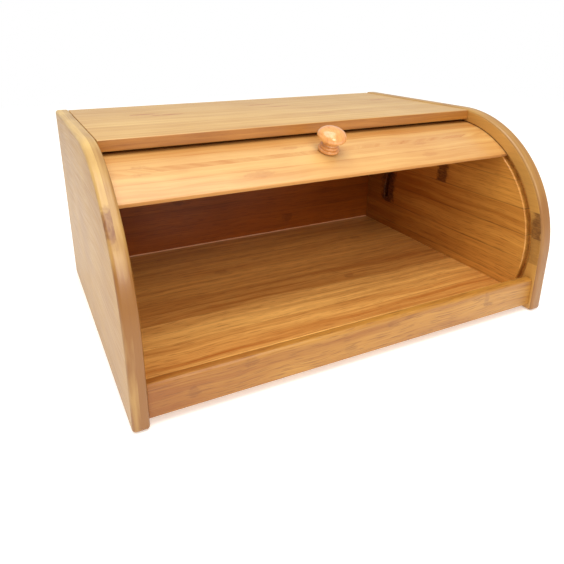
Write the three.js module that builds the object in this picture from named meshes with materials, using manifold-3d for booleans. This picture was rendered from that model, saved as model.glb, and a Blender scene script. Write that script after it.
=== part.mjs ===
// Bamboo bread box with a roll top: two upright side panels carry a top board, a floor, a back panel
// and a low front rail, and a rigid curved lid slides round in a circular groove in each side panel.
//
// Millimetres. X runs across the box, Y from the front (-) to the back (+), Z up from the table.
// The origin is at the centre of the base. The lid is drawn raised, as it stands for loading bread.
import * as THREE from 'three';
import { mergeVertices } from 'three/addons/utils/BufferGeometryUtils.js';
import Module from 'manifold-3d';

// ---- overall sizes ----
const width = 384;
const depth = 279.4;
const height = 175.3;

// ---- side panels ----
const sideThickness = 12;
const frontRadius = 119.5;       // the quarter round between the upright front and the top
const sideArris = 1.5;           // softened edge all round both faces
const sideCorner = 3;            // small radius at the square corners

// ---- boards between the side panels ----
const topThickness = 9;
const topDrop = 1;               // top board's face below the side panels' top edge
const topAhead = 13.8;           // top board's front edge ahead of the centre of the quarter round
const floorThickness = 8;
const floorLift = 6;             // underside of the floor and the rail above the table
const backThickness = 9;
const backInset = 9;             // outer face of the back panel in from the side panels' rear edge
const railThickness = 9;
const railHeight = 26;
const railRecess = 3.7;          // front face of the rail back from the side panels' front edge
const railArris = 2.2;
const boardArris = 0.8;
const glueGap = 0.3;             // between faces that are glued or rest on each other

// ---- lid and its grooves ----
const rimWidth = 12;             // wood left between the groove and the front edge of a side panel
const grooveDepth = 6;
const grooveClearance = 0.5;     // above and below the lid in its groove
const lidEndPlay = 1;            // between the end of the lid and the bottom of the groove
const lidThickness = 4.5;
const lidLap = 7.5;              // how far the closed lid reaches down behind the rail
const lidCover = 21;             // how far the closed lid still reaches under the top board
const grooveRunOut = 1;          // degrees of groove left in front of the closed lid
const grooveRearAngle = -3;      // where the groove stops at the back, if the back panel allows
const raisedFrontAngle = 128;    // lid's front edge when raised, from +Y up through +Z
const backClearance = 2;         // between the groove and the back panel

// ---- knob, its screw and washer ----
const knobFromEdge = 30.3;       // along the lid, from its front edge to the middle of the knob
const knobHeight = 20.5;
const knobHeadRadius = 12.3;
const knobBaseRadius = 9;
const knobBeadRadius = 7.9;
const knobNeckRadius = 6.2;
const screwRadius = 2;
const screwReach = 11;           // length of thread inside the knob
const screwHeadRadius = 4;
const screwHeadHeight = 2.4;
const recessWidth = 1;           // cross recess in the screw head
const recessLength = 4.4;
const recessDepth = 1.3;
const washerRadius = 6;
const washerThickness = 1;
const boreClearance = 0.4;       // round a screw in its hole

// ---- dowels ----
const dowelRadius = 2;
const dowelLength = 20;
const dowelChamfer = 0.5;
const dowelInSide = 8;           // how deep a dowel goes into a side panel
const dowelClearance = 0.3;      // round a dowel in its hole
const topDowelInset = 15;
const floorDowelInset = 15;
const backDowelInset = 28;
const railDowelInset = 6.5;

// ---- how finely curves are divided ----
const stepsPerQuarter = 20;      // on the large arcs
const cornerSteps = 4;           // on each small rounded corner
const turnedSteps = 24;
const dowelSides = 12;

// ---- places worked out from the sizes above ----
const degree = Math.PI / 180;
const halfWidth = width / 2;
const frontY = -depth / 2;
const backY = depth / 2;
const innerX = halfWidth - sideThickness;
const centreY = frontY + frontRadius;
const centreZ = height - frontRadius;

const topZ = height - topDrop;
const topUnderZ = topZ - topThickness;
const topFrontY = centreY - topAhead;
const floorTopZ = floorLift + floorThickness;
const backOuterY = backY - backInset;
const backInnerY = backOuterY - backThickness;
const railFrontY = frontY + railRecess;
const railBackY = railFrontY + railThickness;
const railTopZ = floorLift + railHeight;

const grooveOuterRadius = frontRadius - rimWidth;
const lidOuterRadius = grooveOuterRadius - grooveClearance;
const lidInnerRadius = lidOuterRadius - lidThickness;
const grooveInnerRadius = lidInnerRadius - grooveClearance;
const lidHalfLength = innerX + grooveDepth - lidEndPlay;

// Angles round the lid's centre, in degrees from +Y up through +Z.
const closedFrontAngle = 180 + Math.asin((centreZ - railTopZ + lidLap) / lidOuterRadius) / degree;
const closedRearAngle = Math.acos((lidCover - topAhead) / lidOuterRadius) / degree;
const lidSpan = closedFrontAngle - closedRearAngle;
const roomBehind = Math.min(1, (backInnerY - backClearance - centreY) / grooveOuterRadius);
const rearAngle = Math.max(grooveRearAngle, Math.acos(roomBehind) / degree);
const frontAngle = Math.max(raisedFrontAngle, rearAngle + grooveRunOut + lidSpan);
const knobAngle = frontAngle - knobFromEdge / lidOuterRadius / degree;

const wasm = await Module();
wasm.setup();

// ---- solids ----

function toSolid(geometry) {
  const bare = geometry.clone();
  bare.deleteAttribute('normal');
  bare.deleteAttribute('uv');
  const merged = mergeVertices(bare, 1e-4);
  const vertProperties = new Float32Array(merged.attributes.position.array);
  const triVerts = new Uint32Array(merged.index.array);
  return new wasm.Manifold(new wasm.Mesh({ numProp: 3, vertProperties, triVerts }));
}

function toGeometry(solid) {
  const mesh = solid.getMesh();
  const geometry = new THREE.BufferGeometry();
  geometry.setAttribute('position', new THREE.BufferAttribute(mesh.vertProperties, 3));
  geometry.setIndex(new THREE.BufferAttribute(mesh.triVerts, 1));
  geometry.computeVertexNormals();
  return geometry;
}

function cutAway(geometry, tools) {
  let solid = toSolid(geometry);
  for (const tool of tools) solid = solid.subtract(toSolid(tool));
  return toGeometry(solid);
}

// ---- shapes ----

// An outline drawn in Y and Z, extruded along X, its two end edges softened by arris.
const alongXBasis = new THREE.Matrix4().makeBasis(
  new THREE.Vector3(0, 1, 0),
  new THREE.Vector3(0, 0, 1),
  new THREE.Vector3(1, 0, 0),
);

function alongX(outline, fromX, toX, arris = 0) {
  const geometry = new THREE.ExtrudeGeometry(new THREE.Shape(outline), {
    depth: toX - fromX - 2 * arris,
    bevelEnabled: arris > 0,
    bevelThickness: arris,
    bevelSize: arris,
    bevelOffset: -arris,
    bevelSegments: 2,
  });
  geometry.translate(0, 0, fromX + arris);
  return geometry.applyMatrix4(alongXBasis);
}

// Points of an arc in Y and Z, its angles in degrees from +Y up through +Z.
function arc(y, z, radius, fromAngle, toAngle, steps) {
  return Array.from({ length: steps + 1 }, (_, i) => {
    const angle = (fromAngle + (i * (toAngle - fromAngle)) / steps) * degree;
    return new THREE.Vector2(y + radius * Math.cos(angle), z + radius * Math.sin(angle));
  });
}

// A rectangle in Y and Z with its bottom and top corners rounded.
function rectangle(fromY, toY, fromZ, toZ, bottomRound, topRound) {
  return [
    ...arc(fromY + bottomRound, fromZ + bottomRound, bottomRound, 180, 270, cornerSteps),
    ...arc(toY - bottomRound, fromZ + bottomRound, bottomRound, 270, 360, cornerSteps),
    ...arc(toY - topRound, toZ - topRound, topRound, 0, 90, cornerSteps),
    ...arc(fromY + topRound, toZ - topRound, topRound, 90, 180, cornerSteps),
  ];
}

// Part of a ring about the origin, between two radii and two angles.
function ringSector(innerRadius, outerRadius, fromAngle, toAngle) {
  const steps = Math.ceil((stepsPerQuarter * (toAngle - fromAngle)) / 90);
  return [
    ...arc(0, 0, outerRadius, fromAngle, toAngle, steps),
    ...arc(0, 0, innerRadius, toAngle, fromAngle, steps),
  ];
}

// A turned piece about +Z from [radius, z] pairs that start and end on the axis or close a loop.
function turned(profile, steps) {
  const points = profile.map(([radius, z]) => new THREE.Vector2(radius, z));
  return new THREE.LatheGeometry(points, steps).rotateX(Math.PI / 2);
}

// A round bar along X, its ends chamfered.
function roundBar(radius, length, chamfer) {
  const profile = [
    [0, 0],
    [radius - chamfer, 0],
    [radius, chamfer],
    [radius, length - chamfer],
    [radius - chamfer, length],
    [0, length],
  ];
  return turned(profile, dowelSides).rotateY(Math.PI / 2);
}

// ---- dowels: where each joint has them, in Y and Z ----

const dowelRows = {
  top: [0, 1, 2].map((i) => {
    const firstY = topFrontY + topDowelInset;
    const lastY = backY - topDowelInset;
    return [firstY + (i * (lastY - firstY)) / 2, topZ - topThickness / 2];
  }),
  floor: [0, 1, 2].map((i) => {
    const firstY = railBackY + floorDowelInset;
    const lastY = backInnerY - floorDowelInset;
    return [firstY + (i * (lastY - firstY)) / 2, floorLift + floorThickness / 2];
  }),
  back: [
    [backInnerY + backThickness / 2, floorLift + backDowelInset],
    [backInnerY + backThickness / 2, topUnderZ - backDowelInset],
  ],
  rail: [
    [railFrontY + railThickness / 2, floorLift + railDowelInset],
    [railFrontY + railThickness / 2, railTopZ - railDowelInset],
  ],
};

// Holes for one row of dowels, through both pieces that they join, at both ends of the box.
function dowelHoles(row) {
  const holeLength = dowelLength + 2 * dowelClearance;
  const holes = [];
  for (const side of [-1, 1]) {
    for (const [y, z] of row) {
      const hole = roundBar(dowelRadius + dowelClearance, holeLength, dowelChamfer);
      const lowX = side < 0 ? -dowelEndX() : dowelEndX() - dowelLength;
      holes.push(hole.translate(lowX - dowelClearance, y, z));
    }
  }
  return holes;
}

// How far from the middle of the box the outer end of every dowel lies.
function dowelEndX() {
  return innerX + dowelInSide;
}

// ---- pieces of the case ----

function sidePanel(side) {
  const outline = [
    ...arc(frontY + sideCorner, sideCorner, sideCorner, 180, 270, cornerSteps),
    ...arc(backY - sideCorner, sideCorner, sideCorner, 270, 360, cornerSteps),
    ...arc(backY - sideCorner, height - sideCorner, sideCorner, 0, 90, cornerSteps),
    ...arc(centreY, centreZ, frontRadius, 90, 180, stepsPerQuarter),
  ];
  const fromX = side < 0 ? -halfWidth : innerX;
  const panel = alongX(outline, fromX, fromX + sideThickness, sideArris);

  const groove = ringSector(
    grooveInnerRadius,
    grooveOuterRadius,
    rearAngle,
    closedFrontAngle + grooveRunOut,
  );
  const grooveFromX = side < 0 ? -innerX - grooveDepth : innerX - 1;
  const cutter = alongX(groove, grooveFromX, grooveFromX + grooveDepth + 1);
  const holes = Object.values(dowelRows).flatMap((row) => dowelHoles(row));
  return cutAway(panel, [cutter.translate(0, centreY, centreZ), ...holes]);
}

function boardBetweenSides(outline, dowelRow) {
  const board = alongX(outline, -innerX + glueGap, innerX - glueGap);
  return cutAway(board, dowelHoles(dowelRow));
}

function topBoard() {
  const outline = rectangle(topFrontY, backY, topUnderZ, topZ, boardArris, boardArris);
  return boardBetweenSides(outline, dowelRows.top);
}

function floorBoard() {
  const fromY = railBackY + glueGap;
  const toY = backInnerY - glueGap;
  const outline = rectangle(fromY, toY, floorLift, floorTopZ, boardArris, boardArris);
  return boardBetweenSides(outline, dowelRows.floor);
}

function backPanel() {
  const toZ = topUnderZ - glueGap;
  const outline = rectangle(backInnerY, backOuterY, floorLift, toZ, boardArris, boardArris);
  return boardBetweenSides(outline, dowelRows.back);
}

function frontRail() {
  const outline = rectangle(railFrontY, railBackY, floorLift, railTopZ, boardArris, railArris);
  return boardBetweenSides(outline, dowelRows.rail);
}

// ---- pieces of the lid, drawn about the centre of its grooves ----

// Everything on the knob's axis is drawn with +Z pointing out of the lid and z = 0 at its centre.
const knobSeat = lidOuterRadius + glueGap;
const washerSeat = Math.sqrt(lidInnerRadius ** 2 - washerRadius ** 2) - glueGap;
const screwSeat = washerSeat - washerThickness - glueGap;

function standOnLid(geometry) {
  return geometry.rotateX((knobAngle - 90) * degree);
}

function lidPanel() {
  const outline = ringSector(lidInnerRadius, lidOuterRadius, frontAngle - lidSpan, frontAngle);
  const panel = alongX(outline, -lidHalfLength, lidHalfLength);
  const holeRadius = screwRadius + boreClearance;
  const hole = new THREE.CylinderGeometry(holeRadius, holeRadius, 4 * lidThickness, turnedSteps);
  hole.rotateX(Math.PI / 2).translate(0, 0, (lidInnerRadius + lidOuterRadius) / 2);
  return cutAway(panel, [standOnLid(hole)]);
}

function lidKnob() {
  const holeRadius = screwRadius + glueGap;
  const profile = new THREE.Path();
  profile.moveTo(0, screwReach + 1);
  profile.lineTo(holeRadius, screwReach);
  profile.lineTo(holeRadius, 0);
  profile.lineTo(knobBaseRadius - 0.6, 0);
  profile.quadraticCurveTo(knobBaseRadius + 0.5, 1.6, knobBaseRadius - 0.7, 3);
  profile.lineTo(knobBeadRadius - 0.4, 3.3);
  profile.quadraticCurveTo(knobBeadRadius + 0.4, 4.4, knobBeadRadius - 0.5, 5.6);
  profile.quadraticCurveTo(knobNeckRadius - 0.2, 6.2, knobNeckRadius, 7.6);
  profile.quadraticCurveTo(knobNeckRadius + 0.4, 9.8, knobHeadRadius - 2.4, 10.8);
  profile.quadraticCurveTo(knobHeadRadius + 0.5, 11.9, knobHeadRadius - 0.1, 14.6);
  profile.bezierCurveTo(knobHeadRadius - 0.9, 18, 6.5, knobHeight, 0, knobHeight);
  const points = profile.getPoints(5).map((p) => [p.x, p.y]);
  return standOnLid(turned(points, turnedSteps).translate(0, 0, knobSeat));
}

function knobScrew() {
  const tip = knobSeat + screwReach - 1 - screwSeat;
  const profile = [
    [0, -screwHeadHeight],
    [screwHeadRadius - 1.2, -screwHeadHeight],
    [screwHeadRadius, -screwHeadHeight + 1.2],
    [screwHeadRadius, 0],
    [screwRadius, 0],
    [screwRadius, tip - screwRadius],
    [0, tip],
  ];
  const body = turned(profile, turnedSteps);
  const cross = [0, Math.PI / 2].map((turn) => {
    const slot = new THREE.BoxGeometry(recessLength, recessWidth, 2 * recessDepth);
    return slot.rotateZ(turn).translate(0, 0, -screwHeadHeight);
  });
  return standOnLid(cutAway(body, cross).translate(0, 0, screwSeat));
}

function knobWasher() {
  const holeRadius = screwRadius + boreClearance;
  const profile = [
    [holeRadius, -washerThickness],
    [washerRadius, -washerThickness],
    [washerRadius, 0],
    [holeRadius, 0],
    [holeRadius, -washerThickness],
  ];
  return standOnLid(turned(profile, turnedSteps).translate(0, 0, washerSeat));
}

// ---- the assembly ----

function piece(name, geometry, color, roughness, metalness = 0) {
  const material = new THREE.MeshStandardMaterial({ color, roughness, metalness });
  const mesh = new THREE.Mesh(geometry, material);
  mesh.name = name;
  return mesh;
}

const bambooTop = 0xebc892;
const bambooPale = 0xe3bd8a;
const bambooWarm = 0xd9a463;
const bambooDark = 0xc08648;
const lacqueredKnob = 0xe8a764;
const beech = 0xd8b98c;
const steel = 0xb9bcc0;

const box = new THREE.Group();
box.add(
  piece('left_side_panel', sidePanel(-1), bambooPale, 0.5),
  piece('right_side_panel', sidePanel(1), bambooPale, 0.5),
  piece('top_board', topBoard(), bambooTop, 0.45),
  piece('floor_board', floorBoard(), bambooWarm, 0.5),
  piece('back_panel', backPanel(), bambooDark, 0.5),
  piece('front_rail', frontRail(), bambooWarm, 0.5),
);

for (const [rowName, row] of Object.entries(dowelRows)) {
  for (const [sideName, side] of [['left', -1], ['right', 1]]) {
    row.forEach(([y, z], i) => {
      const dowel = roundBar(dowelRadius, dowelLength, dowelChamfer);
      const mesh = piece(`${rowName}_dowel_${sideName}_${i + 1}`, dowel, beech, 0.7);
      mesh.position.set(side < 0 ? -dowelEndX() : dowelEndX() - dowelLength, y, z);
      box.add(mesh);
    });
  }
}

const lid = new THREE.Group();
lid.position.set(0, centreY, centreZ);
lid.add(
  piece('lid_panel', lidPanel(), bambooPale, 0.45),
  piece('lid_knob', lidKnob(), lacqueredKnob, 0.25),
  piece('knob_screw', knobScrew(), steel, 0.35, 1),
  piece('knob_washer', knobWasher(), steel, 0.4, 1),
);
box.add(lid);

export default box;
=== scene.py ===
"""Bamboo bread box with a roll top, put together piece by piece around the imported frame.

Metres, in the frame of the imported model: X across the box, Y from front to back, Z up.
"""
import math

import bmesh
import bpy
import numpy as np
from mathutils import Euler, Matrix, Vector


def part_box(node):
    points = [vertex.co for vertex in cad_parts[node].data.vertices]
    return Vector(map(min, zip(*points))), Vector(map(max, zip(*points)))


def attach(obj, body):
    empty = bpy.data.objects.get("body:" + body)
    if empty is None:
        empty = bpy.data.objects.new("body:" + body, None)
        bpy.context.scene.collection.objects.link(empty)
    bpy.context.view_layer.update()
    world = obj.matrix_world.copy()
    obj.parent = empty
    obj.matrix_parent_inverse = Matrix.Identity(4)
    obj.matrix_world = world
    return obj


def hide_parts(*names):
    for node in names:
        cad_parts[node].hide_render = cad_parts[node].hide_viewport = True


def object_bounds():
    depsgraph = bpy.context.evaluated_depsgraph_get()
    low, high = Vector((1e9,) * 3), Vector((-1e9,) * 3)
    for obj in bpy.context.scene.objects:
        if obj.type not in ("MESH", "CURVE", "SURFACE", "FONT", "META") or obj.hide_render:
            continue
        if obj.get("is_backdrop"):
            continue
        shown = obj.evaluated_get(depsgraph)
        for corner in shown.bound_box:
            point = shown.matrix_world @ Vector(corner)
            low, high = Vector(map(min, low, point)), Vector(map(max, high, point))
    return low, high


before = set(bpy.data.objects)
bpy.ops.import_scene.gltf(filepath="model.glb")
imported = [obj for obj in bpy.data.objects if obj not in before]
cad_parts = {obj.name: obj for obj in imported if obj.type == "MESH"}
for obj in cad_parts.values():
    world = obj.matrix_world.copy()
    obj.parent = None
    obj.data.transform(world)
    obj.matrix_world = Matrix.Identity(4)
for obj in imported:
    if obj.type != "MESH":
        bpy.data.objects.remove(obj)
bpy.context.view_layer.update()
MM = 0.001


# ---- Camera ----
# Someone standing at the left of the worktop looks down on the open front of the box.

camera_data = bpy.data.cameras.new("camera")
camera_data.lens = 34.0
camera_data.shift_x = 0.023
camera_data.shift_y = -0.1115
camera = bpy.data.objects.new("camera", camera_data)
bpy.context.scene.collection.objects.link(camera)
bpy.context.scene.camera = camera
look_down, turn_right = math.radians(19.5), math.radians(26.0)
facing = Euler((math.pi / 2 - look_down, 0, -turn_right)).to_matrix()
camera.matrix_world = Matrix.Translation((-0.2352, -0.4303, 0.2490)) @ facing.to_4x4()


# ---- Table and light ----
# A white lacquered table in a white tent: soft light from all round, a large softbox overhead and
# a small weaker one in front. The tent shows pure white but lights the box less than that.


def linear(code):
    """An sRGB colour such as "e8c59a" as linear red, green, blue and alpha."""
    shares = [int(code[i : i + 2], 16) / 255 for i in (0, 2, 4)]
    return [s / 12.92 if s <= 0.04045 else ((s + 0.055) / 1.055) ** 2.4 for s in shares] + [1.0]


def add(tree, kind, feeds=None, **settings):
    """Adds one node. Feeds give its inputs, by name or number, a value or another node or socket."""
    made = tree.nodes.new(kind)
    for name, value in settings.items():
        setattr(made, name, value)
    for key, value in (feeds or {}).items():
        if isinstance(value, bpy.types.Node):
            value = value.outputs[0]
        if isinstance(value, bpy.types.NodeSocket):
            tree.links.new(value, made.inputs[key])
        else:
            made.inputs[key].default_value = value
    return made


def new_material(name):
    """An empty node material and its tree."""
    material = bpy.data.materials.new(name)
    material.use_nodes = True
    material.node_tree.nodes.clear()
    return material, material.node_tree


def new_object(name, mesh, material=None):
    """Links a mesh at the origin, with its material."""
    piece = bpy.data.objects.new(name, mesh)
    bpy.context.scene.collection.objects.link(piece)
    if material:
        mesh.materials.clear()
        mesh.materials.append(material)
    return piece


table_lacquer, tree = new_material("table_white_lacquer")
shader = add(
    tree,
    "ShaderNodeBsdfPrincipled",
    {
        "Base Color": linear("f8f7f5"),
        "Roughness": 0.3,
        "Emission Color": linear("ffffff"),
        "Emission Strength": 0.3,
    },
)
add(tree, "ShaderNodeOutputMaterial", {"Surface": shader})

table_mesh = bpy.data.meshes.new("table")
reach = 1.6
corners = [(-reach, -reach, 0), (reach, -reach, 0), (reach, reach, 0), (-reach, reach, 0)]
table_mesh.from_pydata(corners, [], [(0, 1, 2, 3)])
table = new_object("table", table_mesh, table_lacquer)
table.location.z = -0.0004
table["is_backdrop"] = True

world = bpy.data.worlds.new("white_tent")
world.use_nodes = True
bpy.context.scene.world = world
tent_glow = add(world.node_tree, "ShaderNodeLightPath").outputs["Is Camera Ray"]
tent_glow = add(
    world.node_tree, "ShaderNodeMapRange", {"Value": tent_glow, "To Min": 0.6, "To Max": 1.0}
)
world.node_tree.nodes["Background"].inputs["Color"].default_value = linear("ffffff")
world.node_tree.links.new(tent_glow.outputs[0], world.node_tree.nodes["Background"].inputs["Strength"])


def softbox(name, place, aim, width, power, tint):
    """A square area light that faces a point."""
    data = bpy.data.lights.new(name, "AREA")
    data.size = width
    data.energy = power
    data.color = linear(tint)[:3]
    light = bpy.data.objects.new(name, data)
    bpy.context.scene.collection.objects.link(light)
    light.location = place
    light.rotation_euler = (Vector(aim) - Vector(place)).to_track_quat("-Z", "Y").to_euler()


softbox("overhead", (-0.3, -0.4, 2.4), (0, 0, 0), 2.2, 58, "fff9f0")
softbox("front", (-0.1, -1.4, 0.95), (0, 0, 0.03), 0.6, 10, "fff4e6")
bpy.context.scene.view_settings.view_transform = "Standard"


# ---- Strip-laminated bamboo ----
# Split culm wall planed into strips, pressed edge to edge with a clear glue, then sanded and
# lacquered. Each strip has its own tone, fine dark fibre bundles along it, and where the culm had
# a node a brown mark that ends at the glue lines.

FACTOR, FIRST, SECOND = 0, 6, 7


def bamboo(
    name,
    axes,
    strip,
    tones,
    seed,
    shares=(0.45, 0.25, 0.15, 0.15),
    first_seam=0.0,
    seam_depth=0.3,
    dash_depth=0.3,
    marks=(),
    painted_shade_ramp=None,
    pale_band_and_lit_groove=None,
    place_name=None,
    gloss=0.3,
):
    """Strips of the given width in mm. Axes give the directions along, across and through them.

    Tones are the pale and deep wood, the fibre bundles, the glue lines and the marks: node marks,
    and painted shade where a mark stands for shadow. Shares say how much streaks, the strip's own
    tone, fibres and clouds each count. A mark is a place along and across the strips, its half
    length and half width, all in mm, and its strength. Painted shade darkens the wood from one
    place along it to another, by a share of the way from pale to deep, and beyond a circle, given
    by its centre along and across and its radius, the wood turns to a paler colour: a paler band,
    with painted light where it covers a groove's floor.
    """
    material, tree = new_material(name)
    pale, deep, fibre, seam, mark = (linear(tone) for tone in tones)
    if place_name:
        place = add(tree, "ShaderNodeAttribute", attribute_name=place_name).outputs["Vector"]
    else:
        place = add(tree, "ShaderNodeTexCoord").outputs["Object"]
    in_mm = add(tree, "ShaderNodeVectorMath", {0: place, 3: 1 / MM}, operation="SCALE")
    split = add(tree, "ShaderNodeSeparateXYZ", {0: in_mm})
    along, across, through = (split.outputs["XYZ".index(axis)] for axis in axes)
    board = add(tree, "ShaderNodeCombineXYZ", {0: along, 1: across, 2: through})

    row = add(tree, "ShaderNodeMath", {0: across, 1: first_seam}, operation="SUBTRACT")
    row = add(tree, "ShaderNodeMath", {0: row, 1: strip}, operation="DIVIDE")
    number = add(tree, "ShaderNodeMath", {0: row}, operation="FLOOR")
    key = add(tree, "ShaderNodeCombineXYZ", {0: number, 1: seed})
    luck = add(tree, "ShaderNodeTexWhiteNoise", {"Vector": key}, noise_dimensions="3D")
    own_tone = add(tree, "ShaderNodeSeparateColor", {0: luck.outputs["Color"]}).outputs[0]
    own = add(tree, "ShaderNodeVectorMath", {0: luck.outputs["Color"], 3: 90.0}, operation="SCALE")

    # Node marks, and marks of painted shade, each kept to its own strip, with a ragged edge.
    rough = add(
        tree, "ShaderNodeTexNoise", {"Vector": board, "Scale": 0.22, "Detail": 2.0, "Roughness": 0.5}
    )
    marked = None
    for at_along, at_across, half_length, half_width, strength in marks:
        off = add(
            tree, "ShaderNodeVectorMath", {0: board, 1: (at_along, at_across, 0)}, operation="SUBTRACT"
        )
        shape = (1 / half_length, 1 / half_width, 0)
        off = add(tree, "ShaderNodeVectorMath", {0: off, 1: shape}, operation="MULTIPLY")
        off = add(tree, "ShaderNodeVectorMath", {0: off}, operation="LENGTH").outputs["Value"]
        off = add(tree, "ShaderNodeMath", {0: rough, 1: 1.2, 2: off}, operation="MULTIPLY_ADD")
        spot = add(
            tree,
            "ShaderNodeMapRange",
            {"Value": off, "From Min": 1.1, "From Max": 1.65, "To Min": 1.0, "To Max": 0.0},
            interpolation_type="SMOOTHSTEP",
        )
        its_row = math.floor((at_across - first_seam) / strip)
        same = add(tree, "ShaderNodeMath", {0: number, 1: its_row, 2: 0.1}, operation="COMPARE")
        spot = add(tree, "ShaderNodeMath", {0: spot, 1: same}, operation="MULTIPLY")
        spot = add(tree, "ShaderNodeMath", {0: spot, 1: strength}, operation="MULTIPLY")
        if marked:
            spot = add(tree, "ShaderNodeMath", {0: spot, 1: marked}, operation="MAXIMUM")
        marked = spot

    # The grain wanders a little, and the strip's own offset keeps it from running on across a seam.
    drift = add(
        tree, "ShaderNodeTexNoise", {"Vector": board, "Scale": 1 / 70, "Detail": 1.0, "Roughness": 0.4}
    )
    swerve = add(tree, "ShaderNodeMath", {0: drift, 1: 9.0, 2: -4.5}, operation="MULTIPLY_ADD")
    if marked:
        swerve = add(tree, "ShaderNodeMath", {0: marked, 1: 2.0, 2: swerve}, operation="MULTIPLY_ADD")
    swerve = add(tree, "ShaderNodeCombineXYZ", {1: swerve})
    grain_place = add(tree, "ShaderNodeVectorMath", {0: board, 1: swerve}, operation="ADD")

    def drawn_out(length, width, detail):
        stretch = (1 / length, 1 / width, 1 / width)
        moved = add(
            tree, "ShaderNodeVectorMath", {0: grain_place, 1: stretch, 2: own}, operation="MULTIPLY_ADD"
        )
        feeds = {"Vector": moved, "Scale": 1.0, "Detail": detail, "Roughness": 0.55}
        drawn = add(tree, "ShaderNodeTexNoise", feeds)
        return add(tree, "ShaderNodeMapRange", {"Value": drawn, "From Min": 0.3, "From Max": 0.7})

    # Broad streaks run the length of a strip, fibres are finer, bundles are short dark dashes.
    streaks = drawn_out(150, 5.5, 2)
    fibres = drawn_out(46, 1.1, 3)
    bundles = drawn_out(15, 0.95, 1)
    clouds = add(
        tree, "ShaderNodeTexNoise", {"Vector": grain_place, "Scale": 1 / 60, "Detail": 2.0}
    )
    clouds = add(tree, "ShaderNodeMapRange", {"Value": clouds, "From Min": 0.32, "From Max": 0.68})

    tone = add(tree, "ShaderNodeMath", {0: streaks, 1: shares[0]}, operation="MULTIPLY")
    for part, share in zip((own_tone, fibres, clouds), shares[1:]):
        tone = add(tree, "ShaderNodeMath", {0: part, 1: share, 2: tone}, operation="MULTIPLY_ADD")
    # Painted shade: the tone is pushed towards deep from one place along the piece to another.
    if painted_shade_ramp:
        pale_end, deep_end, amount = painted_shade_ramp
        shade_share = add(
            tree, "ShaderNodeMapRange", {"Value": along, "From Min": pale_end, "From Max": deep_end}
        )
        tone = add(tree, "ShaderNodeMath", {0: shade_share, 1: amount, 2: tone}, operation="MULTIPLY_ADD")
    tone = add(tree, "ShaderNodeClamp", {"Value": tone})
    colour = add(
        tree, "ShaderNodeMix", {FACTOR: tone, FIRST: pale, SECOND: deep}, data_type="RGBA"
    ).outputs[2]

    dashes = add(
        tree,
        "ShaderNodeMapRange",
        {"Value": bundles, "From Min": 0.6, "From Max": 1.0, "To Max": dash_depth},
        interpolation_type="SMOOTHSTEP",
    )
    colour = add(
        tree, "ShaderNodeMix", {FACTOR: dashes, FIRST: colour, SECOND: fibre}, data_type="RGBA"
    ).outputs[2]

    # Glue lines: about 0.2 mm thick, drawn 0.8 mm wide to show, and darker along some stretches.
    gap = add(tree, "ShaderNodeMath", {0: row, 1: 0.5}, operation="PINGPONG")
    gap = add(tree, "ShaderNodeMath", {0: gap, 1: strip}, operation="MULTIPLY")
    line = add(
        tree,
        "ShaderNodeMapRange",
        {"Value": gap, "From Min": 0.15, "From Max": 0.8, "To Min": seam_depth, "To Max": 0.0},
        interpolation_type="SMOOTHSTEP",
    )
    worn = add(
        tree, "ShaderNodeMapRange", {"Value": clouds, "From Min": 0.2, "From Max": 0.7, "To Min": 0.3}
    )
    line = add(tree, "ShaderNodeMath", {0: line, 1: worn}, operation="MULTIPLY")
    colour = add(
        tree, "ShaderNodeMix", {FACTOR: line, FIRST: colour, SECOND: seam}, data_type="RGBA"
    ).outputs[2]

    # Beyond the circle the colour turns paler: a paler band, and painted light where it covers the groove's
    # floor.
    if pale_band_and_lit_groove:
        about_along, about_across, circle, pale_band_tone = pale_band_and_lit_groove
        apart = (about_along, about_across, 0)
        apart = add(tree, "ShaderNodeVectorMath", {0: board, 1: apart}, operation="SUBTRACT")
        apart = add(tree, "ShaderNodeVectorMath", {0: apart, 1: (1, 1, 0)}, operation="MULTIPLY")
        apart = add(tree, "ShaderNodeVectorMath", {0: apart}, operation="LENGTH").outputs["Value"]
        beyond = {"Value": apart, "From Min": circle - 1, "From Max": circle + 1, "To Max": 0.75}
        beyond = add(tree, "ShaderNodeMapRange", beyond)
        ahead = add(tree, "ShaderNodeMath", {0: along, 1: about_along}, operation="LESS_THAN")
        beyond = add(tree, "ShaderNodeMath", {0: beyond, 1: ahead}, operation="MULTIPLY")
        colour = add(
            tree,
            "ShaderNodeMix",
            {FACTOR: beyond, FIRST: colour, SECOND: linear(pale_band_tone)},
            data_type="RGBA",
        ).outputs[2]

    if marked:
        fleck = add(
            tree, "ShaderNodeVectorMath", {0: board, 1: (0.22, 0.6, 0.6)}, operation="MULTIPLY"
        )
        fleck = add(tree, "ShaderNodeTexNoise", {"Vector": fleck, "Scale": 1.0, "Detail": 2.0})
        fleck = add(
            tree,
            "ShaderNodeMapRange",
            {"Value": fleck, "From Min": 0.35, "From Max": 0.65, "To Min": 0.7},
        )
        marked = add(tree, "ShaderNodeMath", {0: marked, 1: fleck}, operation="MULTIPLY")
        colour = add(
            tree, "ShaderNodeMix", {FACTOR: marked, FIRST: colour, SECOND: mark}, data_type="RGBA"
        ).outputs[2]

    relief = add(tree, "ShaderNodeMath", {0: line, 1: -0.8, 2: fibres}, operation="MULTIPLY_ADD")
    bump = add(tree, "ShaderNodeBump", {"Height": relief, "Strength": 0.25, "Distance": 0.2 * MM})
    matt = add(tree, "ShaderNodeMapRange", {"Value": fibres, "To Min": 0.38, "To Max": 0.52})
    shader = add(
        tree,
        "ShaderNodeBsdfPrincipled",
        {
            "Base Color": colour,
            "Roughness": matt,
            "IOR": 1.5,
            "Coat Weight": gloss,
            "Coat Roughness": 0.22,
            "Normal": bump,
        },
    )
    add(tree, "ShaderNodeOutputMaterial", {"Surface": shader})
    return material


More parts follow.
